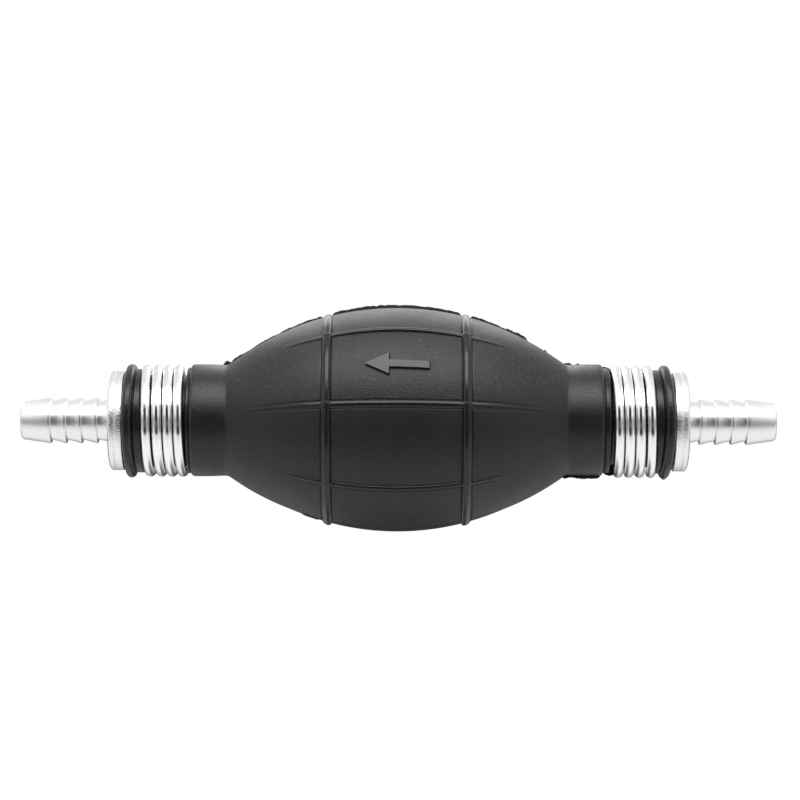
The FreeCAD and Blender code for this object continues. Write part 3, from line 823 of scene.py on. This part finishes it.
def flash_fins(name, degrees, runs):
    """Ragged fins along the bulb at an angle, in runs of (from, to, height)."""
    fins = []
    for first, last, height in runs:
        count = max(int(abs(last - first) / flash_step), 4)
        rings = []
        for step in range(count + 1):
            x = first + (last - first) * step / count
            root = body_radius(x) if abs(x) < cuff_face else band_radius
            floor = root - flash_root if abs(x) < band_end else seat_floor
            rib = max(rib_rise(x, narrow_rib[1]), 0.0) if abs(x) < seam_rib_end else 0.0
            ragged = noise.noise(Vector((x * 0.9, degrees, 1.7)))
            ragged += 0.5 * noise.noise(Vector((x * 3.6, degrees, 4.4)))
            taper = min(min(step, count - step) * 0.5 + 0.2, 1.0)
            crest = root + rib + height * (0.85 + 0.3 * ragged) * taper + 0.03
            outline = (
                (-flash_half, floor),
                (-flash_half * 0.9, crest),
                (flash_half * 0.9, crest),
                (flash_half, floor),
            )
            rings.append(
                [on_bulb(x, r, math.radians(degrees) + across / root) for across, r in outline]
            )
        fin = skin(f"{name}_{len(fins) + 1}", rings, capped=True)
        fin.data.set_sharp_from_angle(angle=math.radians(35))
        fins.append(fin)
    return fins


top_runs = [
    (-37.0, -35.2, 1.05),
    (-35.5, -32.4, 0.7),
    (-33.3, -15.9, 0.52),
    (-13.8, 13.6, 0.6),
    (15.7, 23.6, 0.6),
    (22.9, 27.9, 0.9),
    (31.2, 32.1, 0.5),
    (35.4, 37.3, 0.55),
    (37.9, 39.0, 0.42),
    (43.35, 45.0, 0.4),
]
bottom_runs = [
    (35.2, 43.1, 0.6),
    (38.7, 39.6, 0.85),
    (43.78, 45.6, 0.4),
    (-20.0, -16.5, 0.15),
]
flash = flash_fins("top_flash", seam_degrees[0], top_runs)
flash += flash_fins("bottom_flash", seam_degrees[1], bottom_runs)
for piece in flash:
    piece.data.materials.append(rubber)
    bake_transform(piece)


# The clamps: four turns of bright zinc-plated wire wound tight round each neck, one unbroken
# wire with blunt cut ends. It crosses the front nearly square and steps over at the back.
clamp_steps = 300
clamp_sides = 20
cut_radius = 0.82
cut_length = 0.12

zinc, nodes, links, surface = finish("zinc_wire", (0.91, 0.92, 0.925), 1, 0.12)
place = place_on_piece()
cloud = spots(420, 3)
fine = spots(5200, 2)
give("Base Color", tint(swing(cloud), (0.88, 0.89, 0.9), (0.94, 0.945, 0.95)))
give("Roughness", swing(cloud, 0.12, 0.18))
give("Normal", relief(fine, 0.00001, 0.3, relief(cloud, 0.00012, 0.2)))


def sweep_wire(name, route, first, last, steps, thick, sides):
    """A round wire along a route of points, with slightly rounded cut ends."""
    marks = [first + (last - first) * step / steps for step in range(steps + 1)]
    nudge = (last - first) / steps * 0.05
    sections = [(marks[0], cut_radius, -cut_length)]
    sections += [(mark, 1, 0) for mark in marks]
    sections += [(marks[-1], cut_radius, cut_length)]
    rings = []
    for mark, width, push in sections:
        ahead = (Vector(route(mark + nudge)) - Vector(route(mark - nudge))).normalized()
        here = Vector(route(mark)) + ahead * thick * push
        out = Vector((0, here.y, here.z)).normalized()
        out = (out - ahead * out.dot(ahead)).normalized()
        beside = ahead.cross(out)
        radius = thick * width
        ring = []
        for step in range(sides):
            angle = math.tau * step / sides
            ring.append(here + out * radius * math.cos(angle) + beside * radius * math.sin(angle))
        rings.append(ring)
    return skin(name, rings, capped=True)


def clamp_route(way, turn):
    """A point of the clamp's wire, by turns from the front of its innermost pass."""
    angle = math.tau * turn
    return (
        way * coil_place(turn),
        -coil_radius * math.cos(angle),
        -way * coil_radius * math.sin(angle),
    )


for side, way in pump_ends.items():
    clamp = sweep_wire(
        side + "_wire_clamp",
        partial(clamp_route, way),
        first=-coil_tail,
        last=coil_turns + coil_tail,
        steps=clamp_steps,
        thick=wire_radius,
        sides=clamp_sides,
    )
    clamp.data.materials.append(zinc)
    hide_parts(side + "_clamp_coil")
    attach(clamp, "ends")


# The fittings: turned from aluminium bar. A spigot fills each neck, a flange stops against the
# bead, and the hose barb has four crests and a longer lead cone. The tool's fine rings show.
spigot_mouth = 40.494
spigot_radius = 8.0
valve_bore = 6.4
valve_end = 55.064
ring_groove = (41.394, 42.394)
groove_radius = 6.9
port_start = 57.464
port_radius = 3.0
tip = 79.994
flange_in = 58.094
flange_out = 61.144
flange_radius = 10.5
crests = [63.744, 67.044, 70.344, 73.644]
crest_flat = 0.5
crest_radius = 4.8
lathe_sides = 144
corner_round = 0.012
corner_share = 0.3
tool_rings = (4200, 90, 90)

fitting_line = [
    (spigot_mouth, 6.45),
    (spigot_mouth + 0.05, valve_bore),
    (ring_groove[0], valve_bore),
    (ring_groove[0], groove_radius),
    (ring_groove[1], groove_radius),
    (ring_groove[1], valve_bore),
    (valve_end, valve_bore),
    (valve_end, 5.4),
    (port_start, port_radius),
    (79.9, port_radius),
    (tip, 3.1),
    (tip, 3.55),
    (79.92, 3.75),
    (79.6, 4.02),
]
for crest in reversed(crests):
    fitting_line += [
        (crest + crest_flat + 0.05, 4.78),
        (crest + crest_flat - 0.02, crest_radius),
        (crest + 0.16, crest_radius),
        (crest + 0.1, 4.77),
        (crest + 0.06, 4.68),
        (crest - 0.02, 4.13),
        (crest - 0.08, 4.06),
    ]
fitting_line += [
    (flange_out + 0.06, 4.58),
    (flange_out, 4.65),
    (flange_out, 9.5),
    (flange_out - 0.04, 9.8),
    (flange_out - 0.12, 10.02),
    (flange_out - 0.22, 10.24),
    (flange_out - 0.36, 10.41),
    (flange_out - 0.55, 10.48),
    (flange_out - 0.8, flange_radius),
    (flange_out - 1.35, flange_radius),
    (flange_out - 1.38, 10.45),
    (flange_out - 1.44, 10.45),
    (flange_out - 1.47, flange_radius),
    (flange_in + 0.15, flange_radius),
    (flange_in + 0.03, 10.44),
    (flange_in, 10.35),
    (flange_in, 8.1),
    (flange_in - 0.05, spigot_radius),
    (spigot_mouth + 0.15, spigot_radius),
    (spigot_mouth, 7.85),
]


def smooth_lathe(name, line, way):
    """Turns a line of (place, radius) about the axis, with its corners kept crisp."""
    angles = [math.tau * step / lathe_sides for step in range(lathe_sides)]
    turns = [(-math.cos(angle), math.sin(angle)) for angle in angles]
    rings = []
    for number, (x, radius) in enumerate(line):
        for next_x, next_radius in (line[number - 1], line[(number + 1) % len(line)]):
            run = Vector((next_x - x, next_radius - radius))
            share = min(corner_round / run.length, corner_share)
            along = way * (x + run.x * share)
            out = radius + run.y * share
            rings.append([(along, out * y, way * out * z) for y, z in turns])
    return skin(name, rings, closed=True)


aluminium, nodes, links, surface = finish("turned_aluminium", (0.875, 0.88, 0.885), 1, 0.22)
place = place_on_piece()
across = nodes.new("ShaderNodeVectorMath")
across.operation = "MULTIPLY"
across.inputs[1].default_value = (0, 1, 1)
links.new(place, across.inputs[0])
on_flange = fade(length_of(across.outputs["Vector"]), 0.0096, 0.0100)
speckle = spots(4800, 3)
give("Roughness", mix(on_flange, swing(speckle, 0.28, 0.36), swing(speckle, 0.2, 0.3)))
turned = relief(spots(1, 2, tool_rings), 0.00005, mix(on_flange, 0.8, 0.1))
give("Normal", relief(speckle, 0.00009, mix(on_flange, 0.06, 1.0), turned))
for side, way in pump_ends.items():
    fitting = smooth_lathe(side + "_hose_fitting", fitting_line, way)
    fitting.data.materials.append(aluminium)
    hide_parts(side + "_fitting")
    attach(fitting, "ends")


# The valve springs: three open turns of thin spring wire round the poppet's stem, between its
# head and the cage.
spring_wire = 0.2
spring_radius = 2.1
spring_turns = 3
spring_steps = 120
spring_sides = 10
# Where each wire starts at the poppet's head and ends at the cage, and the face it closes up to
spring_seats = {"inlet": (49.642, 43.966, 43.74), "outlet": (-47.866, -53.542, -53.77)}

spring_steel, nodes, links, surface = finish("spring_steel", (0.55, 0.56, 0.58), 1, 0.24)
place = place_on_piece()
cloud = spots(900, 3)
give("Base Color", tint(swing(cloud), (0.48, 0.49, 0.52), (0.62, 0.62, 0.63)))
give("Roughness", swing(cloud, 0.18, 0.34))


def spring_route(head_end, cage_end, turn):
    """A point of a spring's wire, by turns from the poppet's head."""
    angle = math.tau * turn
    return (
        head_end + (cage_end - head_end) * turn / spring_turns,
        spring_radius * math.cos(angle),
        -spring_radius * math.sin(angle),
    )


for side, (head_end, cage_end, anchor) in spring_seats.items():
    spring = sweep_wire(
        side + "_spring",
        partial(spring_route, head_end, cage_end),
        first=0,
        last=spring_turns,
        steps=spring_steps,
        thick=spring_wire,
        sides=spring_sides,
    )
    spring.data.materials.append(spring_steel)
    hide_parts(side + "_valve_spring")
    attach(spring, "ends")
    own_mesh(spring)


# The other valve pieces, which keep the shapes of their solids: brass seats, moulded acetal cages
# and poppets, rubber seals, and the spring ring that snaps into the mouth of the fitting. They
# get their finishes here.
brass, nodes, links, surface = finish("turned_brass", (0.72, 0.5, 0.2), 1, 0.24)
place = place_on_piece()
give("Base Color", tint(swing(spots(500, 3)), (0.66, 0.44, 0.17), (0.76, 0.55, 0.25)))
give("Normal", relief(spots(1, 2, tool_rings), 0.00003, 0.6))

# Each moulded finish: colour, roughness, patches to a metre, their two colours, and the bumps
moulded = {}
for name, colour, roughness, patches, deeper, paler, bumps in (
    ("grey_acetal", (0.30, 0.31, 0.32), 0.4, 700, (0.27, 0.28, 0.29), (0.33, 0.34, 0.35), 0.4),
    ("white_acetal", (0.82, 0.82, 0.8), 0.36, 700, (0.78, 0.78, 0.76), (0.85, 0.85, 0.83), 0.3),
    ("seal_rubber", (0.02, 0.02, 0.02), 0.5, 2400, (0.016, 0.016, 0.016), (0.03, 0.03, 0.03), 0.5),
):
    moulded[name], nodes, links, surface = finish(name, colour, 0, roughness)
    place = place_on_piece()
    give("Base Color", tint(swing(spots(patches, 3)), deeper, paler))
    give("Normal", relief(spots(3600, 2), 0.00002, bumps))

finishes = {
    "retaining_ring": spring_steel,
    "valve_seat": brass,
    "seat_packing": moulded["seal_rubber"],
    "valve_cage": moulded["grey_acetal"],
    "poppet": moulded["white_acetal"],
    "poppet_seal": moulded["seal_rubber"],
}
for side in pump_ends:
    for name, material in finishes.items():
        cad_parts[f"{side}_{name}"].material_slots[0].material = material
